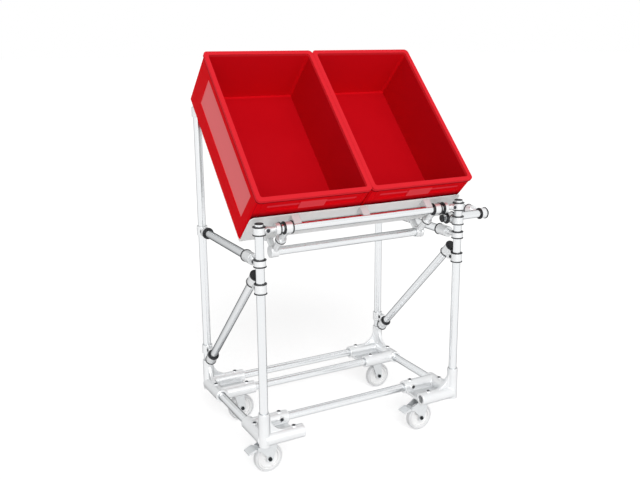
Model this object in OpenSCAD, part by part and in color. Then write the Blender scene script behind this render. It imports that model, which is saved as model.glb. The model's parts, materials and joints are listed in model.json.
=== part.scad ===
// Mobile picking rack: round tubes held by cast connectors on four castors,
// with two containers tilted towards the picker. Millimetres, +Z up, front is -Y,
// origin on the floor under the middle of the overall box.

/* [Tube frame] */
// outer diameter of every tube
tube_od = 28; // [25:1:30]
// wall of every tube
tube_wall = 2; // [1.5:0.5:3]
// distance between post axes, left to right
post_span_x = 760; // [720:10:840]
// distance between post axes, front to back
post_span_y = 515; // [490:5:560]
// height of the base tube axes above the floor
base_z = 150; // [146:1:170]
// height of the upper front rail axis
upper_rail_z = 850; // [840:5:940]
// height of the side rail axes
side_rail_z = 748; // [735:1:755]
// height of the brace clamps on the front posts
brace_top_z = 666; // [640:1:680]
// height of the brace clamps on the rear posts
brace_low_z = 289; // [280:1:310]
// post top above the rail that ends on it
post_rise = 21; // [18:1:40]

/* [Connectors] */
// outer diameter of a clamp sleeve
sleeve_od = 38; // [36:1:40]
// length of a top rail, handle or cradle tee's sleeve between its rings
tee_sleeve = 22; // [20:1:24]
// length of a front side rail tee's sleeve between its rings
side_sleeve = 19; // [18:1:22]
// length of a swivel clamp's sleeve between its rings
clamp_sleeve = 24; // [22:1:26]
// length of a brace clamp's post sleeve between its rings
brace_post_sleeve = 28; // [26:1:30]
// length of a brace clamp's brace sleeve between its rings
brace_sleeve = 40; // [40:1:46]
// length of the plain sleeves on the rear posts
plain_sleeve = 34; // [30:1:36]
// outer diameter of the black sleeve rings
ring_od = 42; // [40:1:43]
// length of a sleeve ring
ring_len = 3; // [2.5:0.5:4]
// post axis to the mouth of a top rail tee
top_tee_reach = 70; // [68:1:72]
// depth of a top rail tee's socket
top_socket = 10; // [8:1:12]
// post axis to the mouth of a front side rail tee
side_tee_reach = 107; // [100:1:115]
// depth of a front side rail tee's socket
side_socket = 50; // [40:1:52]
// post axis to the mouth of a rear side rail tee
rear_tee_reach = 62; // [61:1:70]
// depth of a rear side rail tee's socket
rear_socket = 18; // [14:1:19]
// tube axis to the mouth of a handle or cradle tee
small_tee_reach = 80; // [74:1:90]
// depth of the other tees' sockets
socket_len = 22; // [18:1:24]
// post axis to the clamp bolt of a tee
bolt_reach = 25; // [24:1:27]
// radial play of a tube in a sleeve
tube_play = 0.2; // [0.1:0.05:0.3]

/* [Corner castings] */
// outer diameter of the socket arms
arm_od = 46; // [42:1:46]
// post axis to the end of an in-line arm
arm_reach = 141; // [130:1:150]
// distance between the two parallel socket arms
arm_pitch = 117; // [110:1:122]
// height of the post sleeve top above the arm axes
post_sleeve_rise = 94; // [80:1:110]
// depth of a tube socket
socket_depth = 90; // [70:1:95]

/* [Containers and tray] */
// tilt of the tray
tilt = 46; // [44:1:48]
// container width over its rim
bin_w = 403; // [380:1:410]
// container length over its rim
bin_l = 600; // [580:5:610]
// container height
bin_h = 220; // [190:5:230]
// gap between the two containers
bin_gap = 0.6; // [0.4:0.1:6]
// rim top above the upper front rail, square to the tray
rim_rise = 104; // [96:1:112]
// upper front rail axis to the outside of the tray lip
lip_standoff = 36; // [32:1:42]
// lip height above the tray underside
lip_h = 134; // [110:1:145]
// sheet thickness of the tray
sheet = 2.5; // [1.5:0.5:3]
// tray length up the slope
tray_len = 440; // [380:5:450]
// slope tube axis to the underside of the tray
saddle_h = 26.5; // [22:0.5:30]

/* [Handle] */
// height of the handle
handle_z = 800; // [796:1:804]
// handle stub axis to the post axis
handle_offset = 50; // [50:1:56]
// handle stub end outside the post axis
handle_reach = 167; // [140:1:190]

/* [Castors] */
// wheel diameter
wheel_d = 100; // [90:1:102]
// tread width
wheel_w = 26; // [24:1:30]
// offset of the wheel from the swivel axis
trail = 34; // [32:1:40]
// length of a brake pedal from its pivot
pedal_len = 42; // [38:1:48]
// width of a brake pedal's foot plate
pedal_w = 42; // [40:1:46]

/* [Hidden] */
$fn = 48;
bore_d = tube_od + 2*tube_play;
half_x = post_span_x/2;
half_y = post_span_y/2;
corner_z = base_z - arm_od/2;
tee_end = tee_sleeve/2 + ring_len;
clamp_end = clamp_sleeve/2 + ring_len;
neck_d = 22;
waist_d = 17;
tee_boss = 14.5;
clamp_neck = clamp_sleeve - 2;
fit_gap = 0.3;
rest_gap = 0.1;
cradle_gap = 12;
end_t = 4;
cap_t = 3;
washer_t = 3;
disc_d = sleeve_od - 4;
washer_d = sleeve_od - 2;
// screws and the bosses they are driven into
screw_d = 6;
head_d = 10;
head_h = 6;
key_d = 5.8;
sink = 5;
boss_d = 18;
corner_boss = arm_od/2 + 3.5;
// the tray plane: y runs up the slope, z square to it, origin on the upper front rail
floor_n = rim_rise - bin_h;
under_n = floor_n - sheet - rest_gap;
bin_v = lip_standoff + sheet + fit_gap;
cradle_drop = saddle_h - under_n;
rear_v = (post_span_y - cradle_drop*sin(tilt))/cos(tilt);
rear_rail_z = upper_rail_z + rear_v*sin(tilt) - cradle_drop*cos(tilt);
cradle_x = half_x - top_tee_reach - clamp_end - cradle_gap;
lower_half = cradle_x + clamp_sleeve/2 + 1 - tube_play;
front_top = upper_rail_z + post_rise;
rear_top = rear_rail_z + post_rise;
post_foot = corner_z + 12;
// brace sleeves sit behind the front post and ahead of the rear post
brace_off = 48;
brace_lift = 19;
web_z = brace_post_sleeve/2;
brace_y1 = -half_y + brace_off;
brace_z1 = brace_top_z + brace_lift;
brace_y2 = half_y - brace_off;
brace_z2 = brace_low_z - brace_lift;
brace_a = atan2(brace_z1 - brace_z2, brace_y2 - brace_y1);
brace_half = norm([brace_y2 - brace_y1, brace_z1 - brace_z2])/2;
brace_end = brace_half + brace_sleeve/2 + ring_len;
// container walls, and the sunk panels and grips in them
rim_w = 15;
rim_t = 10;
body_in = 3;
skin = 3;
base_t = 4;
bin_r = 15;
cut = 1.8;
rib_t = 1.7;
panel_side = 0.077*bin_l;
panel_front = 0.15*bin_l;
panel_low = 0.3*bin_h;
panel_top = 0.836*bin_h;
grip_w = 0.28*bin_w;
grip_side = 0.11*bin_w;
grip_low = 0.727*bin_h;
grip_h = 0.118*bin_h;
label_w = 0.23*bin_w;
clip_w = 26;
// handle
stub_in = half_x - 30;
stub_out = half_x + handle_reach;
grip_x = stub_out - tee_end - 4;
stub_y = half_y - handle_offset;
// castors
swivel_x = half_x - arm_reach/2;
swivel_y = half_y - arm_pitch/2;
wheel_r = wheel_d/2;
axle_r = 6;
tread = 9;
hub_wheel = 14;
run_gap = 0.4;
leg_in = wheel_w/2 + 2.5;
leg_t = 3;
leg_out = leg_in + leg_t;
leg_r = 13;
ear_r = 8;
crown_z = corner_z - 15;
crown_t = 9.5;
crown_d = 0.64*wheel_d;
plate_d = 0.72*wheel_d;
plate_t = 5;
stem_d = 0.2*wheel_d;
hub_r = 5.5;
pin_r = 3;
pedal_reach = wheel_r + hub_r + 0.6;
pedal_x = -trail - pedal_reach*cos(50);
pedal_z = wheel_r + pedal_reach*sin(50);
// overall box
box_x0 = min(-(bin_w + bin_gap/2), -swivel_x + pedal_x - pedal_len);
box_x1 = max(stub_out + cap_t, grip_x + ring_od/2);
box_y0 = -half_y + bin_v*cos(tilt) - rim_rise*sin(tilt);
box_y1 = half_y + arm_od/2;
mid_x = (box_x0 + box_x1)/2;
mid_y = (box_y0 + box_y1)/2;

steel = [0.86, 0.87, 0.88];
cast = [0.80, 0.81, 0.82];
black = [0.07, 0.07, 0.08];
red = [0.80, 0.03, 0.05];
white = [0.93, 0.93, 0.92];
grey = [0.62, 0.63, 0.65];
rubber = [0.50, 0.51, 0.53];

// Frames

module place() translate([-mid_x, -mid_y, 0]) children();
module in_tray() translate([0, -half_y, upper_rail_z]) rotate([tilt, 0, 0]) children();
module both_sides() {
    children();
    mirror([1, 0, 0]) children();
}
module both_ends() {
    children();
    mirror([0, 1, 0]) children();
}
module to_x() rotate([0, 90, 0]) children();
module to_y() rotate([-90, 0, 0]) children();
// a tee lying with its sleeve along X and its branch along Y
module tee_on_x() rotate([0, 0, 90]) rotate([90, 0, 0]) children();

// Tubes

module tube(a, b) {
    translate([0, 0, a])
        difference() {
            cylinder(d = tube_od, h = b - a);
            translate([0, 0, -1]) cylinder(d = tube_od - 2*tube_wall, h = b - a + 2);
        }
}

module post(sx, sy, top) {
    color(steel) place() translate([sx*half_x, sy*half_y, 0]) tube(post_foot, top);
}

module tube_x(half, y, z) {
    color(steel) place() translate([0, y, z]) to_x() tube(-half, half);
}

module tube_y(half, x, z) {
    color(steel) place() translate([x, 0, z]) to_y() tube(-half, half);
}

module side_rail(x) {
    color(steel) place() translate([x, 0, side_rail_z]) to_y()
        tube(-half_y + side_tee_reach - ring_len - side_socket,
             half_y - rear_tee_reach + ring_len + rear_socket);
}

module at_brace() {
    translate([half_x, (brace_y1 + brace_y2)/2, (brace_z1 + brace_z2)/2])
        rotate([90 - brace_a, 0, 0]) children();
}

module brace(sx) {
    color(steel) place() mirror([sx < 0 ? 1 : 0, 0, 0]) at_brace() tube(-brace_end, brace_end);
}

module lower_front_rail() {
    color(steel) place() in_tray()
        translate([0, 0, -cradle_drop]) to_x() tube(-lower_half, lower_half);
}

module slope_tube(sx) {
    color(steel) place() in_tray()
        translate([sx*cradle_x, 0, -cradle_drop]) to_y()
            tube(small_tee_reach - ring_len - socket_len, rear_v - small_tee_reach + ring_len + socket_len);
}

module handle_stub(sy) {
    color(steel) place() translate([0, sy*stub_y, handle_z]) to_x() tube(stub_in, stub_out);
}

// Connectors: a sleeve stands along Z and its branch points along X

// socket head screw, sunk below the face it is driven into
module bolt(shank) {
    translate([0, 0, -sink]) {
        difference() {
            cylinder(d = head_d, h = head_h);
            translate([0, 0, head_h/2]) cylinder(d = key_d, h = head_h, $fn = 6);
        }
        translate([0, 0, -shank]) cylinder(d = screw_d, h = shank + 0.5);
    }
}

module bolt_hole(shank) {
    translate([0, 0, -sink - shank - 0.5]) cylinder(d = screw_d + 0.4, h = shank + 1);
    translate([0, 0, -sink]) cylinder(d = head_d + 3.4, h = sink + 4);
}

// the tee's clamp bolt sits in a boss beside the sleeve
module tee_bolt_at() translate([bolt_reach, -tee_boss, 0]) rotate([90, 0, 0]) children();

module tee(reach, socket, len) {
    mouth = reach - ring_len;
    difference() {
        union() {
            rotate([0, 0, 100]) cylinder(d = sleeve_od, h = len, center = true);
            translate([6, 0, 0]) to_x() cylinder(d = min(len, neck_d), h = bolt_reach + boss_d/2 - 4);
            translate([6, 0, 0]) to_x() cylinder(d = waist_d, h = mouth - socket - 6);
            translate([mouth - socket - 4, 0, 0]) to_x() cylinder(d = sleeve_od, h = socket + 4);
            tee_bolt_at() translate([0, 0, -tee_boss]) cylinder(d = boss_d, h = tee_boss);
        }
        rotate([0, 0, 100]) cylinder(d = bore_d, h = sleeve_od + 2, center = true);
        translate([mouth - socket, 0, 0]) to_x() cylinder(d = bore_d, h = socket + 1);
        tee_bolt_at() bolt_hole(8);
    }
}

module ring() {
    difference() {
        cylinder(d = ring_od, h = ring_len);
        translate([0, 0, -1]) cylinder(d = bore_d, h = ring_len + 2);
    }
}

module sleeve_ring_pair(len) {
    translate([0, 0, len/2]) ring();
    translate([0, 0, -len/2 - ring_len]) ring();
}

module mouth_ring(reach) translate([reach - ring_len, 0, 0]) to_x() ring();

module tee_rings(reach, len) {
    sleeve_ring_pair(len);
    mouth_ring(reach);
}

// half of a swivel clamp without its bore, its disc face half a washer short of the swivel plane
module half_body(reach) {
    face = reach - washer_t/2;
    disc = min(8, face - ring_od/2 - fit_gap);
    rotate([0, 0, 100]) cylinder(d = sleeve_od, h = clamp_sleeve, center = true);
    translate([6, 0, 0]) to_x() cylinder(d = clamp_neck, h = face - 6);
    translate([face - disc, 0, 0]) to_x() cylinder(d = disc_d, h = disc);
}

module half_clamp(reach) {
    difference() {
        half_body(reach);
        rotate([0, 0, 100]) cylinder(d = bore_d, h = clamp_sleeve + sleeve_od, center = true);
    }
}

// the brace clamp holds the post and, beside it, the leaning brace
module brace_clamp(len) {
    difference() {
        union() {
            cylinder(d = sleeve_od, h = len, center = true);
            translate([0, brace_off, brace_lift]) rotate([90 - brace_a, 0, 0])
                cylinder(d = sleeve_od, h = brace_sleeve, center = true);
            translate([-9, 0, 0]) rotate([90, 0, 90])
                linear_extrude(18)
                    polygon([[0, -web_z], [brace_off - 4, -web_z], [brace_off + 6, -2],
                             [brace_off, brace_lift], [brace_off - 18, brace_lift + 8],
                             [ring_od/2 + 1, web_z - 4], [0, web_z - 4]]);
        }
        cylinder(d = bore_d, h = 2*plain_sleeve, center = true);
        translate([0, brace_off, brace_lift]) rotate([90 - brace_a, 0, 0])
            cylinder(d = bore_d, h = 2*brace_sleeve, center = true);
        both_sides() brace_bolt_at() bolt_hole(3);
    }
}

module brace_bolt_at() translate([-9, brace_off - 22, -3]) rotate([0, -90, 0]) children();

// places of the connectors on the front and on the rear posts
module at_front_brace() both_sides() translate([half_x, -half_y, brace_top_z]) children();
module at_rear_brace() both_sides() translate([half_x, half_y, brace_low_z]) rotate([180, 0, 0]) children();
module at_front_top() both_sides() translate([-half_x, -half_y, upper_rail_z]) children();
module at_rear_top() both_sides() translate([-half_x, half_y, rear_rail_z]) children();
module at_front_side() {
    both_sides() translate([half_x, -half_y, side_rail_z]) rotate([0, 0, 90]) children();
}
module at_rear_side() {
    both_sides() translate([-half_x, half_y, side_rail_z]) rotate([0, 0, -90]) children();
}

module at_handle_tees() {
    both_ends() translate([grip_x, -stub_y, handle_z]) tee_on_x() children();
}

module at_cradle_tees() {
    in_tray() both_sides() translate([cradle_x, rear_v, -cradle_drop])
        rotate([180, 0, 0]) tee_on_x() children();
}

module at_handle_clamps() {
    both_ends() {
        translate([half_x, -half_y, handle_z]) rotate([0, 0, 90]) children(0);
        translate([half_x, -stub_y, handle_z]) rotate([0, 0, -90]) rotate([90, 0, 0]) children(0);
    }
}

module at_upper_cradle() {
    in_tray() both_sides() translate([cradle_x, 0, 0]) rotate([0, 90, 0]) children();
}

module at_lower_cradle() {
    in_tray() both_sides() translate([cradle_x, 0, -cradle_drop]) children();
}

module top_rail_tees() {
    color(cast) place() {
        at_front_top() tee(top_tee_reach, top_socket, tee_sleeve);
        at_rear_top() tee(top_tee_reach, top_socket, plain_sleeve);
    }
}
module side_rail_tees() {
    color(cast) place() {
        at_front_side() tee(side_tee_reach, side_socket, side_sleeve);
        at_rear_side() tee(rear_tee_reach, rear_socket, plain_sleeve);
    }
}
module handle_tees() color(cast) place() at_handle_tees() tee(small_tee_reach, socket_len, tee_sleeve);
module cradle_tees() color(cast) place() at_cradle_tees() tee(small_tee_reach, socket_len, tee_sleeve);
module brace_clamps() {
    color(cast) place() {
        at_front_brace() brace_clamp(brace_post_sleeve);
        at_rear_brace() brace_clamp(plain_sleeve);
    }
}
module handle_clamps() color(cast) place() at_handle_clamps() half_clamp(handle_offset/2);
module cradle_upper_clamps() color(cast) place() at_upper_cradle() half_clamp(cradle_drop/2);

// the lower half is a blind socket for the lower rail, and carries the socket of the slope tube
module cradle_lower_clamp() {
    mouth = small_tee_reach - ring_len;
    difference() {
        union() {
            rotate([0, -90, 0]) half_body(cradle_drop/2);
            translate([clamp_sleeve/2 - 2, 0, 0]) to_x() cylinder(d = sleeve_od + 2, h = end_t + 2);
            to_y() cylinder(d = clamp_neck, h = mouth - socket_len);
            translate([0, mouth - socket_len - 4, 0]) to_y() cylinder(d = sleeve_od, h = socket_len + 4);
        }
        translate([-clamp_sleeve, 0, 0]) to_x() cylinder(d = bore_d, h = 1.5*clamp_sleeve + 1);
        translate([0, mouth - socket_len, 0]) to_y() cylinder(d = bore_d, h = socket_len + 1);
    }
}

module cradle_lower_clamps() color(cast) place() at_lower_cradle() cradle_lower_clamp();

module swivel_washers() {
    color(black) place() {
        both_ends() translate([half_x, -half_y + handle_offset/2, handle_z]) to_y()
            cylinder(d = washer_d, h = washer_t, center = true);
        in_tray() both_sides() translate([cradle_x, 0, -cradle_drop/2])
            cylinder(d = washer_d, h = washer_t, center = true);
    }
}

module brace_rings() {
    translate([0, brace_off, brace_lift]) rotate([90 - brace_a, 0, 0]) sleeve_ring_pair(brace_sleeve);
}

module sleeve_rings() {
    color(black) place() {
        at_front_top() tee_rings(top_tee_reach, tee_sleeve);
        at_rear_top() mouth_ring(top_tee_reach);
        at_front_side() tee_rings(side_tee_reach, side_sleeve);
        at_rear_side() mouth_ring(rear_tee_reach);
        at_handle_tees() tee_rings(small_tee_reach, tee_sleeve);
        at_cradle_tees() tee_rings(small_tee_reach, tee_sleeve);
        at_handle_clamps() sleeve_ring_pair(clamp_sleeve);
        at_upper_cradle() sleeve_ring_pair(clamp_sleeve);
        at_lower_cradle() translate([0, small_tee_reach - ring_len, 0]) to_y() ring();
        at_front_brace() {
            sleeve_ring_pair(brace_post_sleeve);
            brace_rings();
        }
        at_rear_brace() brace_rings();
    }
}

// a cap plugs an open tube end, its flat top outside
module cap() {
    cylinder(d = tube_od, h = cap_t);
    translate([0, 0, -12]) cylinder(d = tube_od - 2*tube_wall - 0.4, h = 12.5);
}

module tube_caps() {
    color(black) place() {
        both_sides() {
            translate([half_x, -half_y, front_top]) cap();
            translate([half_x, half_y, rear_top]) cap();
            at_brace() {
                translate([0, 0, brace_end]) cap();
                mirror([0, 0, 1]) translate([0, 0, brace_end]) cap();
            }
        }
        both_ends() translate([0, -stub_y, handle_z]) {
            translate([stub_out, 0, 0]) to_x() cap();
            mirror([1, 0, 0]) translate([-stub_in, 0, 0]) to_x() cap();
        }
    }
}

module clamp_bolts() {
    color(grey) place() {
        at_front_top() tee_bolt_at() bolt(8);
        at_rear_top() tee_bolt_at() bolt(8);
        at_front_side() tee_bolt_at() bolt(8);
        at_rear_side() tee_bolt_at() bolt(8);
        at_handle_tees() tee_bolt_at() bolt(8);
        at_cradle_tees() tee_bolt_at() bolt(8);
        at_front_brace() both_sides() brace_bolt_at() bolt(3);
        at_rear_brace() both_sides() brace_bolt_at() bolt(3);
        both_sides() both_ends() translate([-half_x, -half_y, base_z]) at_corner_bolts() bolt(5);
    }
}

// Corner castings: drawn for the front left, post axis at the origin, arms along +X and +Y

module at_corner_bolts() {
    translate([0.76*arm_reach, 0, corner_boss]) children();
    translate([0, 0.56*arm_reach, corner_boss]) children();
    translate([0.76*arm_reach, arm_pitch, corner_boss]) children();
    translate([0.76*arm_reach, arm_pitch - corner_boss, 4]) rotate([90, 0, 0]) children();
}

module socket() cylinder(d = bore_d, h = socket_depth + 1);

module gusset() {
    rise = post_sleeve_rise - 14;
    run = 0.56*arm_reach;
    translate([0, 6, 0]) rotate([90, 0, 0])
        linear_extrude(12)
            polygon(concat([[0, 0], [run, 0]],
                [for (i = [0:8]) let (t = i/8) [run - (run - 19)*sin(90*t) , rise - (rise - 22)*cos(90*t)]],
                [[0, rise]]));
}

module corner(sx, sy) {
    reach_y = arm_pitch + arm_od/2 + 1;
    color(cast) place()
        translate([sx*half_x, sy*half_y, base_z])
            mirror([sx > 0 ? 1 : 0, 0, 0]) mirror([0, sy > 0 ? 1 : 0, 0])
                difference() {
                    union() {
                        translate([0, 0, -arm_od/2])
                            cylinder(d = sleeve_od, h = arm_od/2 + post_sleeve_rise);
                        to_x() cylinder(d = arm_od, h = arm_reach);
                        to_y() cylinder(d = arm_od, h = reach_y);
                        translate([0, arm_pitch, 0]) to_x() cylinder(d = arm_od, h = arm_reach - 3);
                        translate([0, 0, -arm_od/2]) cube([arm_reach - 12, arm_pitch, 10]);
                        gusset();
                        mirror([1, -1, 0]) gusset();
                        at_corner_bolts() translate([0, 0, -12]) cylinder(d = boss_d, h = 12);
                    }
                    translate([0, 0, post_foot - base_z])
                        cylinder(d = bore_d, h = arm_od + post_sleeve_rise);
                    translate([arm_reach - socket_depth, 0, 0]) to_x() socket();
                    translate([0, reach_y - socket_depth, 0]) to_y() socket();
                    translate([arm_reach - 3 - socket_depth, arm_pitch, 0]) to_x() socket();
                    at_corner_bolts() bolt_hole(5);
                }
}

// Tray: floor and lip are one bent sheet

module tray_panel() {
    w = 2*bin_w + bin_gap - 4;
    bend = 5;
    color(white) place() in_tray()
        difference() {
            translate([-w/2, lip_standoff, under_n]) rotate([90, 0, 90]) linear_extrude(w)
                difference() {
                    union() {
                        translate([0, bend]) square([sheet, lip_h - bend]);
                        translate([bend, 0]) square([tray_len - bend, sheet]);
                        intersection() {
                            translate([bend, bend]) circle(r = bend);
                            square([bend, bend]);
                        }
                    }
                    translate([bend, bend]) circle(r = bend - sheet);
                }
            both_sides() translate([w/2, lip_standoff - 1, under_n + lip_h]) rotate([-90, 0, 0])
                linear_extrude(sheet + 2)
                    difference() {
                        translate([-15, -1]) square([16, 16]);
                        translate([-15, 15]) circle(r = 15);
                    }
        }
}

// saddle between a tube and the sheet above it: tube axis at the origin, sheet at height h
module clip(h) {
    difference() {
        translate([-clip_w/2, -tube_od/2 - 1, 2]) cube([clip_w, tube_od + 2, h - 2]);
        to_x() cylinder(d = bore_d, h = clip_w + 2, center = true);
    }
}

module panel_clips() {
    color(white) place() in_tray() {
        for (x = [-0.66, 0, 0.66]) translate([x*half_x, 0, 0]) rotate([-90, 0, 0]) clip(lip_standoff);
        both_sides() for (v = [0.22, 0.78]) translate([cradle_x, v*rear_v, -cradle_drop])
            rotate([0, 0, 90]) clip(cradle_drop + under_n);
    }
}

// Containers: corner at the origin, length along Y

module rounded_plate(w, l, r) {
    translate([r, 0]) square([w - 2*r, l]);
    translate([0, r]) square([w, l - 2*r]);
    for (x = [r, w - r], y = [r, l - r]) translate([x, y]) circle(r = r);
}

module block(inset, r, z0, z1) {
    translate([inset, inset, z0]) linear_extrude(z1 - z0)
        rounded_plate(bin_w - 2*inset, bin_l - 2*inset, r);
}

module bin_solid() {
    slot = rim_w - body_in - 2*skin;
    slot_h = bin_h - rim_t - skin;
    difference() {
        union() {
            block(body_in, bin_r - body_in, 0, bin_h - 1);
            block(0, bin_r, bin_h - rim_t, bin_h);
        }
        block(rim_w, bin_r - 7, base_t, bin_h + 1);
        // hollow between the outer and inner wall, open underneath
        for (x = [body_in + skin, bin_w - body_in - skin - slot])
            translate([x, 2*bin_r, -1]) cube([slot, bin_l - 4*bin_r, slot_h + 1]);
        for (y = [body_in + skin, bin_l - body_in - skin - slot])
            translate([2*bin_r, y, -1]) cube([bin_w - 4*bin_r, slot, slot_h + 1]);
        // sunk panels of the long sides
        for (x = [body_in - 1, bin_w - body_in - cut]) translate([x, panel_side, panel_low])
            cube([cut + 1, bin_l - panel_side - panel_front, panel_top - panel_low]);
        // sunk grips of the short sides
        for (y = [body_in - 1, bin_l - body_in - cut], x = [grip_side, bin_w - grip_side - grip_w])
            translate([x, y, grip_low]) cube([grip_w, cut + 1, grip_h]);
        // sunk middle of the base
        translate([2*bin_r, 2*bin_r, -1]) cube([bin_w - 4*bin_r, bin_l - 4*bin_r, 2.5]);
    }
    // label block and corner ribs of the short sides
    for (y = [body_in - rib_t + 0.5, bin_l - body_in - 0.5]) {
        translate([bin_w/2 - label_w/2, y, grip_low - 4]) cube([label_w, rib_t, grip_h + 8]);
        for (x = [1.5*bin_r, bin_w - 1.5*bin_r - 4])
            translate([x, y, 0]) cube([4, rib_t, bin_h - rim_t + 0.5]);
    }
}

module bin(sx) {
    color(red) place() in_tray()
        translate([sx > 0 ? bin_gap/2 : -bin_gap/2 - bin_w, bin_v, floor_n]) bin_solid();
}

// Castors: swivel axis at the origin, floor at zero, wheel trailing along -X

module at_castor(sx, sy) {
    place() translate([sx*swivel_x, sy*swivel_y, 0]) rotate([0, 0, sy > 0 ? 180 : 0]) children();
}

module castor_plates() {
    color(grey) for (sx = [-1, 1], sy = [-1, 1]) at_castor(sx, sy) {
        translate([0, 0, corner_z - plate_t]) cylinder(d = plate_d, h = plate_t);
        translate([0, 0, crown_z - 4]) cylinder(d = stem_d, h = corner_z - crown_z);
        translate([0, 0, crown_z - 5]) cylinder(d = 1.5*stem_d, h = 4);
    }
}

// a leg leans back from the crown to the axle, and a braked one has an ear for the pedal
module fork_leg(braked) {
    crown_top = crown_z + crown_t - 0.5;
    polygon([[-crown_d/2 - 8, crown_top], [crown_d/2 - 8, crown_top], [crown_d/2 - 12, crown_z],
             [-4, crown_z - 10], [-trail + leg_r, wheel_r], [-trail - leg_r, wheel_r]]);
    translate([-trail, wheel_r]) circle(r = leg_r);
    if (braked) {
        polygon([[-trail - leg_r, wheel_r + leg_r], [pedal_x + 2, pedal_z - ear_r],
                 [pedal_x, pedal_z + ear_r], [-crown_d/2 - 8, crown_top], [-crown_d/4, crown_z]]);
        translate([pedal_x, pedal_z]) circle(r = ear_r);
    }
}

module fork(sx, sy, braked) {
    color(grey) at_castor(sx, sy)
        difference() {
            union() {
                translate([0, 0, crown_z]) cylinder(d = crown_d, h = crown_t);
                translate([-crown_d/2 - 8, -leg_out, crown_z + crown_t - leg_t])
                    cube([crown_d/2 + 8, 2*leg_out, leg_t - 0.5]);
                for (y = [-leg_in, leg_out]) translate([0, y, 0]) rotate([90, 0, 0])
                    linear_extrude(leg_t) fork_leg(braked);
                if (braked) translate([pedal_x, 0, pedal_z]) rotate([90, 0, 0])
                    cylinder(r = pin_r, h = 2*leg_in + 1, center = true);
            }
            translate([0, 0, crown_z - 1]) cylinder(d = stem_d + 2*run_gap, h = crown_t + 2.5);
            translate([-trail, 0, wheel_r]) rotate([90, 0, 0])
                cylinder(r = axle_r + 0.1, h = 2*leg_out + 2, center = true);
        }
}

// wheel profiles: radius along x, width along y
module wheel(sx, sy) {
    hw = wheel_w/2 - 1;
    r0 = axle_r + run_gap;
    r1 = wheel_r - tread;
    web = 0.2*wheel_w;
    color(white) at_castor(sx, sy) translate([-trail, 0, wheel_r]) rotate([90, 0, 0])
        rotate_extrude($fn = 64)
            polygon([[r0, -hw], [hub_wheel, -hw], [hub_wheel + 2, -web], [r1 - 8, -web], [r1 - 6, -hw],
                     [r1, -hw], [r1, hw], [r1 - 6, hw], [r1 - 8, web], [hub_wheel + 2, web],
                     [hub_wheel, hw], [r0, hw]]);
}

module tyre(sx, sy) {
    hw = wheel_w/2;
    r1 = wheel_r - tread;
    color(rubber) at_castor(sx, sy) translate([-trail, 0, wheel_r]) rotate([90, 0, 0])
        rotate_extrude($fn = 64)
            polygon([[r1, -hw + 4], [r1 + 2, -hw], [wheel_r - 4, -hw], [wheel_r - 1, -hw + 3],
                     [wheel_r, -hw + 7], [wheel_r, hw - 7], [wheel_r - 1, hw - 3], [wheel_r - 4, hw],
                     [r1 + 2, hw], [r1, hw - 4]]);
}

module axle(sx, sy) {
    color(black) at_castor(sx, sy) translate([-trail, 0, wheel_r]) rotate([90, 0, 0]) {
        cylinder(r = axle_r, h = 2*leg_out, center = true);
        for (m = [0, 1]) mirror([0, 0, m]) translate([0, 0, leg_out])
            cylinder(r = axle_r + 1.5, h = 4, $fn = 6);
    }
}

// hub and stem between the fork's ears, and a wide foot plate outside them
module pedal(sx, sy) {
    hub_w = 2*leg_in - 1;
    step = ear_r + 3;
    drop = 0.2*pedal_len;
    color(grey) at_castor(sx, sy) translate([pedal_x, 0, pedal_z]) rotate([90, 0, 0])
        difference() {
            union() {
                cylinder(r = hub_r, h = hub_w, center = true);
                linear_extrude(hub_w, center = true)
                    polygon([[0, hub_r], [-step - 1, 4], [-step - 1, -4], [0, -hub_r]]);
                linear_extrude(pedal_w, center = true)
                    polygon([[-step, 5], [-step - 5, 6], [-pedal_len + 3, 5 - drop], [-pedal_len, 3 - drop],
                             [-pedal_len, -1 - drop], [-step, -3]]);
            }
            cylinder(r = pin_r + run_gap, h = hub_w + 2, center = true);
        }
}

post(-1, -1, front_top);  // post_fl
post(1, -1, front_top);  // post_fr
post(-1, 1, rear_top);  // post_rl
post(1, 1, rear_top);  // post_rr
corner(-1, -1);  // corner_fl
corner(1, -1);  // corner_fr
corner(-1, 1);  // corner_rl
corner(1, 1);  // corner_rr
tube_x(half_x - arm_reach + 3 + socket_depth, -half_y + arm_pitch, base_z);  // base_tube_front
tube_x(half_x - arm_reach + socket_depth, half_y, base_z);  // base_tube_rear
tube_x(half_x - arm_reach + 3 + socket_depth, half_y - arm_pitch, base_z);  // base_tube_rear_inner
tube_y(half_y - arm_pitch - arm_od/2 - 1 + socket_depth, -half_x, base_z);  // base_tube_left
tube_y(half_y - arm_pitch - arm_od/2 - 1 + socket_depth, half_x, base_z);  // base_tube_right
side_rail(-half_x);  // side_rail_left
side_rail(half_x);  // side_rail_right
brace(-1);  // brace_left
brace(1);  // brace_right
tube_x(half_x - top_tee_reach + ring_len + top_socket, -half_y, upper_rail_z);  // upper_front_rail
lower_front_rail();
tube_x(half_x - top_tee_reach + ring_len + top_socket, half_y, rear_rail_z);  // rear_top_rail
slope_tube(-1);  // slope_tube_left
slope_tube(1);  // slope_tube_right
handle_stub(-1);  // handle_stub_front
handle_stub(1);  // handle_stub_rear
tube_y(stub_y - small_tee_reach + ring_len + socket_len, grip_x, handle_z);  // handle_grip
top_rail_tees();
side_rail_tees();
handle_tees();
cradle_tees();
brace_clamps();
handle_clamps();
cradle_upper_clamps();
cradle_lower_clamps();
swivel_washers();
sleeve_rings();
tube_caps();
clamp_bolts();
tray_panel();
panel_clips();
bin(-1);  // bin_left
bin(1);  // bin_right
castor_plates();
fork(-1, -1, true);  // castor_fl_fork
wheel(-1, -1);  // castor_fl_wheel
tyre(-1, -1);  // castor_fl_tyre
axle(-1, -1);  // castor_fl_axle
pedal(-1, -1);  // castor_fl_pedal
fork(1, -1, true);  // castor_fr_fork
wheel(1, -1);  // castor_fr_wheel
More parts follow.
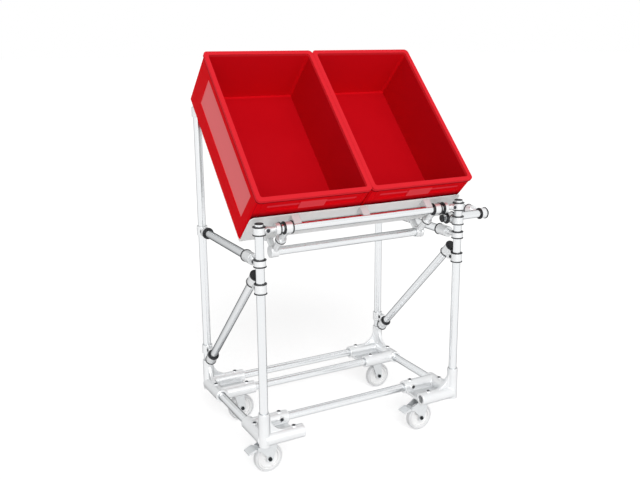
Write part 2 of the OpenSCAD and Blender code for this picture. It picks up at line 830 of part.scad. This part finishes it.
tyre(1, -1);  // castor_fr_tyre
axle(1, -1);  // castor_fr_axle
pedal(1, -1);  // castor_fr_pedal
fork(-1, 1, false);  // castor_rl_fork
wheel(-1, 1);  // castor_rl_wheel
tyre(-1, 1);  // castor_rl_tyre
axle(-1, 1);  // castor_rl_axle
fork(1, 1, false);  // castor_rr_fork
wheel(1, 1);  // castor_rr_wheel
tyre(1, 1);  // castor_rr_tyre
axle(1, 1);  // castor_rr_axle
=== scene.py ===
import bpy
import json
import math
from mathutils import Matrix

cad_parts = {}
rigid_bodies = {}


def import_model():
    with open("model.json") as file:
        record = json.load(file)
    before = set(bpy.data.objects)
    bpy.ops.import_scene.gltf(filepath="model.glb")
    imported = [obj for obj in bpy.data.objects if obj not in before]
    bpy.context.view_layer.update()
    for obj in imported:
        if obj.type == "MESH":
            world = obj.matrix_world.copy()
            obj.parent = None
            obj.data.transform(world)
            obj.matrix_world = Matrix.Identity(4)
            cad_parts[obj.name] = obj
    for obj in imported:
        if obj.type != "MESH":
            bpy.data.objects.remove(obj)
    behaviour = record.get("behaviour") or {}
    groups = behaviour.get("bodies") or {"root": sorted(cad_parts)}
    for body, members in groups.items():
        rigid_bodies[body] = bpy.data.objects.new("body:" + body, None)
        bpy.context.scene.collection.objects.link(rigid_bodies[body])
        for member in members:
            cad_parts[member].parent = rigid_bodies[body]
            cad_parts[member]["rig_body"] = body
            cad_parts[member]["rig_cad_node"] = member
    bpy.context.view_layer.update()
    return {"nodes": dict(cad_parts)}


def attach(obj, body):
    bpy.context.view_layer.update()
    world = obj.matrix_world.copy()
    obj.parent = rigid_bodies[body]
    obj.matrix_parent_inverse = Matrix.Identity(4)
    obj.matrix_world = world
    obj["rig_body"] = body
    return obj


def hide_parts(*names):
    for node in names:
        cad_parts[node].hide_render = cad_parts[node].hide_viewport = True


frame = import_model()

# Corner castings. Four corners of aluminium alloy, each a post sleeve with an in-line socket, a side socket
# and a parallel inner socket in one piece. They were die-cast, blasted and left bare, and the posts and base
# tubes are clamped in them.
node = frame["nodes"]


def srgb(code):
    parts = [int(code[i:i + 2], 16) / 255 for i in (1, 3, 5)]
    return [p / 12.92 if p <= 0.04045 else ((p + 0.055) / 1.055) ** 2.4 for p in parts] + [1.0]


def put(owner, kind, links, **settings):
    # one node with its settings, and with a value or a link in each named socket
    made = owner.node_tree.nodes.new(kind)
    for name, value in settings.items():
        setattr(made, name, value)
    for socket, value in links.items():
        if isinstance(value, bpy.types.NodeSocket):
            owner.node_tree.links.new(value, made.inputs[socket])
        else:
            made.inputs[socket].default_value = value
    return made


def blank(name):
    material = bpy.data.materials.new(name)
    material.use_nodes = True
    material.node_tree.nodes.clear()
    return material


def mottled(name, spot, detail, tones, roughness, gloss, grain=None):
    # a finish whose tone and roughness drift together in spots of one size, in metres; grain is a fine
    # relief on top, 0.3 mm deep and given by its size, its detail and how strongly it shows
    material = blank(name)
    place = put(material, "ShaderNodeTexCoord", {}).outputs["Object"]
    drift = put(material, "ShaderNodeTexNoise", {"Vector": place, "Scale": 1 / spot, "Detail": detail})
    drift = drift.outputs["Fac"]
    tone = put(material, "ShaderNodeMix", {"Factor": drift, "A": srgb(tones[0]), "B": srgb(tones[1])},
               data_type="RGBA")
    rough = put(material, "ShaderNodeMapRange", {
        "Value": drift, "To Min": roughness[0], "To Max": roughness[1]})
    sockets = {"Base Color": tone.outputs[2], "Roughness": rough.outputs[0], **gloss}
    if grain:
        size, fineness, strength = grain
        depth = 0.0003
        grit = put(material, "ShaderNodeTexNoise", {"Vector": place, "Scale": 1 / size, "Detail": fineness})
        relief = put(material, "ShaderNodeBump", {
            "Height": grit.outputs["Fac"], "Strength": strength, "Distance": depth})
        sockets["Normal"] = relief.outputs[0]
    skin = put(material, "ShaderNodeBsdfPrincipled", sockets)
    put(material, "ShaderNodeOutputMaterial", {"Surface": skin.outputs[0]})
    return material


def coat(material, *pieces):
    for piece in pieces:
        piece.data.materials.clear()
        piece.data.materials.append(material)


def merged_copy(name):
    # a solid's own shape as a new piece, its triangles merged, ready to be worked on
    bpy.ops.object.select_all(action="DESELECT")
    bpy.context.view_layer.objects.active = node[name]
    node[name].select_set(True)
    bpy.ops.object.duplicate()
    piece = bpy.context.object
    body = piece["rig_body"]
    bpy.ops.object.parent_clear(type="CLEAR_KEEP_TRANSFORM")
    del piece["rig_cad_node"]
    piece.name = name + "_finished"
    bpy.ops.object.mode_set(mode="EDIT")
    bpy.ops.mesh.select_all(action="SELECT")
    bpy.ops.mesh.customdata_custom_splitnormals_clear()
    bpy.ops.mesh.remove_doubles(threshold=0.00001)
    bpy.ops.object.mode_set(mode="OBJECT")
    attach(piece, body)
    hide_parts(name)
    return piece


def cast_copy(name, grain, share):
    # castings have no sharp corner: the shape is drawn again in a fine skin, whose edges then relax, and
    # a share of its faces is kept
    piece = merged_copy(name)
    bpy.ops.object.modifier_add(type="REMESH")
    piece.modifiers["Remesh"].mode = "VOXEL"
    piece.modifiers["Remesh"].voxel_size = grain
    bpy.ops.object.modifier_apply(modifier="Remesh")
    bpy.ops.object.modifier_add(type="SMOOTH")
    piece.modifiers["Smooth"].factor = 0.5
    piece.modifiers["Smooth"].iterations = 3
    bpy.ops.object.modifier_apply(modifier="Smooth")
    bpy.ops.object.modifier_add(type="DECIMATE")
    piece.modifiers["Decimate"].ratio = share
    bpy.ops.object.modifier_apply(modifier="Decimate")
    bpy.ops.object.shade_smooth()
    return piece


# Blasted die casting: a pale, even grey with a soft sheen. The grit is 0.3 mm and would not show, so it is
# drawn at 2 mm, with a slow change of tone over about 60 mm.
blasted = mottled("blasted_die_cast_aluminium", spot=0.060, detail=3, tones=("#ECEEEF", "#F7F8F9"),
                  roughness=(0.30, 0.42), gloss={"Metallic": 0.65, "Specular Tint": srgb("#202326")},
                  grain=(0.002, 2, 0.1))
# front left, front right, rear left and rear right
corners = ("fl", "fr", "rl", "rr")
for corner in corners:
    coat(blasted, cast_copy("corner_" + corner, grain=0.0012, share=0.35))

# Frame tubes. Round steel tube of 28 mm, drawn, cut to length and plated with bright zinc. Posts, base
# tubes, rails, braces and handle are all cut from it and pushed into the sleeves of the castings.
tray_tilt = math.radians(46)
brace_lean = math.radians(-44.7)


def plated_tube(name, turn, along):
    # Bright zinc over drawn steel: nearly white, darker towards the sides of the tube, with faint draw
    # lines along it. The lines are 0.2 mm apart on the real tube and drawn 4 mm apart, so that they show.
    zinc = blank(name)
    pitch = [1 / 0.004] * 3
    pitch[along] = 1 / 0.400
    place = put(zinc, "ShaderNodeTexCoord", {})
    lay = put(zinc, "ShaderNodeMapping", {"Vector": place.outputs["Object"], "Rotation": (turn, 0, 0)},
              vector_type="TEXTURE")
    draw = put(zinc, "ShaderNodeMapping", {"Vector": lay.outputs[0], "Scale": pitch})
    lines = put(zinc, "ShaderNodeTexNoise", {"Vector": draw.outputs[0], "Scale": 1.0, "Detail": 2})
    lines = lines.outputs["Fac"]
    tone = put(zinc, "ShaderNodeMix", {"Factor": lines, "A": srgb("#E6E8EA"), "B": srgb("#F1F3F4")},
               data_type="RGBA")
    rough = put(zinc, "ShaderNodeMapRange", {"Value": lines, "To Min": 0.17, "To Max": 0.23})
    relief = put(zinc, "ShaderNodeBump", {"Height": lines, "Strength": 0.02, "Distance": 0.0002})
    shine = put(zinc, "ShaderNodeBsdfPrincipled", {
        "Base Color": tone.outputs[2], "Roughness": rough.outputs[0], "Normal": relief.outputs[0],
        "Metallic": 1.0, "Specular Tint": srgb("#26292B")})
    put(zinc, "ShaderNodeOutputMaterial", {"Surface": shine.outputs[0]})
    return zinc


# each run of tubes, how far it is turned about the x axis, and the axis that its draw lines then follow
for run, turn, along, tubes in (
        ("upright", 0, 2, ["post_" + corner for corner in corners]),
        ("across", 0, 0, ["base_tube_front", "base_tube_rear", "base_tube_rear_inner", "upper_front_rail",
                          "lower_front_rail", "rear_top_rail", "handle_stub_front", "handle_stub_rear"]),
        ("deep", 0, 1, ["base_tube_left", "base_tube_right", "side_rail_left", "side_rail_right",
                        "handle_grip"]),
        ("sloped", tray_tilt, 1, ["slope_tube_left", "slope_tube_right"]),
        ("braced", brace_lean, 1, ["brace_left", "brace_right"])):
    coat(plated_tube("bright_zinc_tube_" + run, turn, along), *(node[tube] for tube in tubes))

# Connectors. Tees, brace clamps and swivel clamps, die-cast in the same alloy as the corners and blasted
# like them. Each is a short sleeve around one tube, with a neck to the socket or the disc of the next.
for connector in ("top_rail_tees", "side_rail_tees", "handle_tees", "cradle_tees", "brace_clamps",
                  "handle_clamps", "cradle_upper_clamps", "cradle_lower_clamps"):
    coat(blasted, cast_copy(connector, grain=0.0008, share=0.35))

# Sleeve rings, tube caps and swivel washers. Moulded in black polyamide, and pressed on the sleeve ends,
# into the open tube ends and between the two halves of the swivel clamps.


def edged_copy(name, width):
    # flat faces are joined again, and every edge gets the small round that a mould or a press leaves
    piece = merged_copy(name)
    bpy.ops.object.mode_set(mode="EDIT")
    bpy.ops.mesh.dissolve_limited(angle_limit=math.radians(0.5))
    bpy.ops.object.mode_set(mode="OBJECT")
    bpy.ops.object.modifier_add(type="BEVEL")
    piece.modifiers["Bevel"].width = width
    piece.modifiers["Bevel"].segments = 2
    piece.modifiers["Bevel"].limit_method = "ANGLE"
    piece.modifiers["Bevel"].angle_limit = math.radians(35)
    bpy.ops.object.modifier_apply(modifier="Bevel")
    bpy.ops.object.shade_smooth_by_angle(angle=math.radians(40))
    bpy.ops.object.modifier_add(type="WEIGHTED_NORMAL")
    piece.modifiers["WeightedNormal"].weight = 100
    piece.modifiers["WeightedNormal"].keep_sharp = True
    bpy.ops.object.modifier_apply(modifier="WeightedNormal")
    return piece


# Moulded black polyamide: a soft black, half matt, with flow marks about 12 mm long.
nylon = mottled("moulded_black_polyamide", spot=0.012, detail=3, tones=("#242527", "#343538"),
                roughness=(0.40, 0.58), gloss={"IOR": 1.53, "Specular IOR Level": 0.3})
for fitting, width in (("sleeve_rings", 0.0006), ("tube_caps", 0.0012), ("swivel_washers", 0.0005)):
    coat(nylon, edged_copy(fitting, width))

# Clamp bolts. Socket head screws of steel, turned and plated with zinc. They pull
# each sleeve tight on its tube.
# Bolt steel: a middle grey metal, a little cloudy over about 4 mm, drawn this dark as painted shade for the
# shadow in the counterbores.
dark = mottled("bolt_steel_dark_as_painted_shade", spot=0.004, detail=3, tones=("#4C4F53", "#63666A"),
               roughness=(0.30, 0.44), gloss={"Metallic": 0.8})
coat(dark, node["clamp_bolts"])

# Castor plates, forks and pedals. Steel pressings, bent and zinc plated. The plate is fixed under the
# corner casting, the fork turns on the stem below it, and the pedal swings on a pin in the front forks.
# Plated pressings: pale and a little blue, half matt, and cloudy over about 8 mm where the bath left it.
plated = mottled("zinc_plated_steel", spot=0.008, detail=4, tones=("#D8DBDD", "#E8EAEB"),
                 roughness=(0.26, 0.42), gloss={"Metallic": 0.8, "Specular Tint": srgb("#202326")})
for pressing in ("castor_plates", *("castor_%s_fork" % corner for corner in corners),
                 "castor_fl_pedal", "castor_fr_pedal"):
    coat(plated, edged_copy(pressing, width=0.0006))

# Wheels. Rims of white polyamide, moulded with a sunk web and a hub, that turn on the axles.
# Moulded white polyamide: a clean white with a faint waxy sheen and flow marks of about 20 mm.
rim = mottled("moulded_white_polyamide", spot=0.020, detail=3, tones=("#F2F2F2", "#FAFAFA"),
              roughness=(0.36, 0.50), gloss={"IOR": 1.53})
for corner in corners:
    coat(rim, edged_copy("castor_%s_wheel" % corner, width=0.0008))

# Tyres. A tread of pale grey rubber, moulded as a ring around each rim.
# Pale grey rubber: matt and uneven with dust. The dust is far finer than 1 mm and drawn in spots of 6 mm.
tread = mottled("pale_grey_rubber", spot=0.006, detail=4, tones=("#E2E3E4", "#F0F0F1"),
                roughness=(0.60, 0.80), gloss={"IOR": 1.52})
coat(tread, *(node["castor_%s_tyre" % corner] for corner in corners))

# Axles. Hexagon bolts of blackened steel, pushed through the fork legs and the wheel.
# Blackened steel: a deep grey black with a low metal sheen, its tone uneven over about 5 mm.
black = mottled("blackened_steel", spot=0.005, detail=3, tones=("#232528", "#313437"),
                roughness=(0.36, 0.50), gloss={"Metallic": 0.8})
coat(black, *(node["castor_%s_axle" % corner] for corner in corners))

# Tray. One steel sheet, cut and bent to a floor and a lip, and powder coated white. It lies on saddles
# over the rails.
# White powder coat: a bright white of even satin gloss with a slight peel, about 1 mm and drawn at 4 mm.
powder = mottled("white_powder_coat", spot=0.200, detail=2, tones=("#F8F8F7", "#FDFDFC"),
                 roughness=(0.26, 0.34), gloss={"IOR": 1.5}, grain=(0.004, 1, 0.05))
coat(powder, edged_copy("tray_panel", width=0.0005))

# Saddles. Small blocks moulded in off-white polyamide, which sit over the rails and hold the tray.
# Off-white polyamide: the same waxy sheen as the wheels, but a shade greyer than the tray beside it.
saddle = mottled("moulded_offwhite_polyamide", spot=0.020, detail=3, tones=("#D4D6D7", "#E0E1E2"),
                 roughness=(0.40, 0.54), gloss={"IOR": 1.53})
coat(saddle, edged_copy("panel_clips", width=0.0015))

# Containers. Stacking boxes of red polypropylene, moulded in one piece with a broad rim, sunk side panels,
# grips and label fields. They stand loose on the tray, against its lip.
# Moulded red polypropylene: a deep, even red with hardly any gloss. Painted light makes it paler on the rim,
# the outer faces and the inner face of the upper end. Painted shade makes it darker in the step under the rim
# and on the front wall from the lip's edge down. Palest are the sunk panels, the label fields and the tops of
# the grips, the last as a painted highlight.
red = blank("moulded_red_polypropylene")
place = put(red, "ShaderNodeTexCoord", {}).outputs["Object"]
# measured along the tray, from the middle of the upper front rail: x across, y up the slope, z square to it
rail_middle = (-0.06422, -0.24507, 0.850)
tray = put(red, "ShaderNodeMapping", {
    "Vector": place, "Location": rail_middle, "Rotation": (tray_tilt, 0, 0)}, vector_type="TEXTURE")
axis = put(red, "ShaderNodeSeparateXYZ", {"Vector": tray.outputs[0]}).outputs
# across is measured from the middle of either container, which lies as far to one side as the other's
container_middle = 0.2018
across = put(red, "ShaderNodeMath", {0: axis["X"]}, operation="ABSOLUTE")
across = put(red, "ShaderNodeMath", {0: across.outputs[0], 1: container_middle}, operation="SUBTRACT")
across = put(red, "ShaderNodeMath", {0: across.outputs[0]}, operation="ABSOLUTE").outputs[0]
zone = {}
# what lies beyond a limit, in metres
for name, measure, limit, test in (
        ("side", across, 0.1955, "GREATER_THAN"), ("front", axis["Y"], 0.0445, "LESS_THAN"),
        # the rim zone takes painted light: the rim is drawn paler, as if lit from above
        ("back", axis["Y"], 0.6330, "GREATER_THAN"), ("rim", axis["Z"], 0.0935, "GREATER_THAN"),
        ("label", across, 0.0463, "LESS_THAN")):
    zone[name] = put(red, "ShaderNodeMath", {0: measure, 1: limit}, operation=test).outputs[0]
# what lies between two limits
for name, measure, low, high in (
        ("panel", axis["Y"], 0.0850, 0.5488), ("panel_height", axis["Z"], -0.0499, 0.0679),
        # painted highlight: the tops of the grips are drawn paler, as if catching the light
        ("grip", across, 0.0444, 0.1572), ("grip_top", axis["Z"], 0.0580, 0.0700),
        # painted shade: the step under the rim is drawn as a dark band
        ("label_height", axis["Z"], 0.0398, 0.0742), ("painted_shade_under_rim", axis["Z"], 0.0864, 0.0940)):
    middle, reach = (low + high) / 2, (high - low) / 2
    band = put(red, "ShaderNodeMath", {0: measure, 1: middle, 2: reach}, operation="COMPARE")
    zone[name] = band.outputs[0]
# what fades in from one limit to the other
for name, measure, start, full in (
        # painted shade: the front wall fades darker from the lip's edge down
        ("painted_shade_beside_lip", axis["Z"], 0.038, 0.014), ("painted_light_inner_end", axis["Y"], 0.612, 0.620)):
    fade = put(red, "ShaderNodeMapRange", {"Value": measure, "From Min": start, "From Max": full})
    zone[name] = fade.outputs[0]
# zones joined, or cut to where they meet
for name, first, second, way in (
        # the outer faces take painted light: they are drawn brighter than the inner faces, which are left in
        # painted shade
        ("ends", "front", "back", "MAXIMUM"), ("outside", "ends", "side", "MAXIMUM"),
        ("panel", "panel", "side", "MULTIPLY"), ("panel", "panel", "panel_height", "MULTIPLY"),
        ("label", "label", "ends", "MULTIPLY"), ("label", "label", "label_height", "MULTIPLY"),
        ("grip", "grip", "ends", "MULTIPLY"), ("grip", "grip", "grip_top", "MULTIPLY"),
        ("painted_shade_under_rim", "painted_shade_under_rim", "outside", "MULTIPLY"), ("painted_shade_beside_lip", "painted_shade_beside_lip", "front", "MULTIPLY")):
    zone[name] = put(red, "ShaderNodeMath", {0: zone[first], 1: zone[second]}, operation=way).outputs[0]
flow = put(red, "ShaderNodeTexNoise", {"Vector": place, "Scale": 1 / 0.150, "Detail": 3}).outputs["Fac"]
tone = put(red, "ShaderNodeMix", {"Factor": flow, "A": srgb("#C60B17"), "B": srgb("#CE101C")},
           data_type="RGBA")
# painted light: the inner face of the upper end is drawn paler than the rest of the inside
for name, colour in (
        ("painted_light_inner_end", "#E6121F"), ("outside", "#EC0A17"), ("rim", "#EA2C36"), ("painted_shade_beside_lip", "#6A050E"),
        ("painted_shade_under_rim", "#8E0714"), ("grip", "#F23A48"), ("label", "#F6464F"), ("panel", "#FA7D80")):
    tone = put(red, "ShaderNodeMix", {"Factor": zone[name], "A": tone.outputs[2], "B": srgb(colour)},
               data_type="RGBA")
rough = put(red, "ShaderNodeMapRange", {"Value": flow, "To Min": 0.30, "To Max": 0.40})
moulded = put(red, "ShaderNodeBsdfPrincipled", {
    "Base Color": tone.outputs[2], "Roughness": rough.outputs[0], "IOR": 1.49, "Specular IOR Level": 0.004})
put(red, "ShaderNodeOutputMaterial", {"Surface": moulded.outputs[0]})
for side in ("left", "right"):
    coat(red, edged_copy("bin_" + side, width=0.0015))

# Studio. A white floor under a white surround, a soft key lamp beside the camera with a broader one low
# down, and the camera where the photograph was taken from.


def seen(owner):
    # 1 for what is looked at straight, in a reflection or through something clear, and 0 for light
    rays = put(owner, "ShaderNodeLightPath", {}).outputs
    eye = rays["Is Camera Ray"]
    for way in ("Is Glossy Ray", "Is Transmission Ray"):
        eye = put(owner, "ShaderNodeMath", {0: eye, 1: rays[way]}, operation="MAXIMUM").outputs[0]
    return eye


# wide enough to reach the horizon in every view
floor_width = 200
bpy.ops.object.select_all(action="DESELECT")
bpy.ops.mesh.primitive_plane_add(size=floor_width, location=(0, 0, 0))
floor = bpy.context.object
floor.name = "studio_floor"
# White paper: matt, and lifted to white only where it is looked at, so that it keeps the rack's shadow.
paper = blank("white_floor")
matt = put(paper, "ShaderNodeBsdfDiffuse", {"Color": srgb("#E6E6E6")})
lift = put(paper, "ShaderNodeMath", {0: seen(paper), 1: 0.49}, operation="MULTIPLY")
glow = put(paper, "ShaderNodeEmission", {"Color": srgb("#FFFFFF"), "Strength": lift.outputs[0]})
both = put(paper, "ShaderNodeAddShader", {0: matt.outputs[0], 1: glow.outputs[0]})
put(paper, "ShaderNodeOutputMaterial", {"Surface": both.outputs[0]})
coat(paper, floor)

world = bpy.data.worlds.new("white_surround")
world.use_nodes = True
world.node_tree.nodes.clear()
level = put(world, "ShaderNodeMapRange", {"Value": seen(world), "To Min": 0.50, "To Max": 1.0})
sky = put(world, "ShaderNodeBackground", {"Color": srgb("#FFFFFF"), "Strength": level.outputs[0]})
put(world, "ShaderNodeOutputWorld", {"Surface": sky.outputs[0]})
scene = bpy.context.scene
scene.world = world

# breadth, tip and turn in degrees
for lamp, stand, strength, breadth, tip, turn in (
        ("key_lamp", (-1, -3, 3), 0.9, 30, 53, -18), ("low_lamp", (-1, -4, 1), 0.95, 60, 80, -12)):
    bpy.ops.object.light_add(type="SUN", location=stand)
    sun = bpy.context.object
    sun.name = lamp
    sun.data.energy = strength
    sun.data.angle = math.radians(breadth)
    sun.rotation_euler = (math.radians(tip), 0, math.radians(turn))

scene.view_settings.view_transform = "Standard"
# stand in metres, turn, dip and roll in radians and lens in millimetres, fitted to the edges of the rack
stand = (-1.37872, -2.38164, 1.39662)
turn, dip, roll = -0.492, 0.243, -0.007
bpy.ops.object.camera_add(location=stand)
camera = bpy.context.object
camera.matrix_world = (Matrix.Translation(stand) @ Matrix.Rotation(turn, 4, "Z")
                       @ Matrix.Rotation(math.pi / 2 - dip, 4, "X") @ Matrix.Rotation(roll, 4, "Z"))
camera.data.lens = 44.045
camera.data.sensor_width = 36
camera.data.clip_end = 300
scene.camera = camera
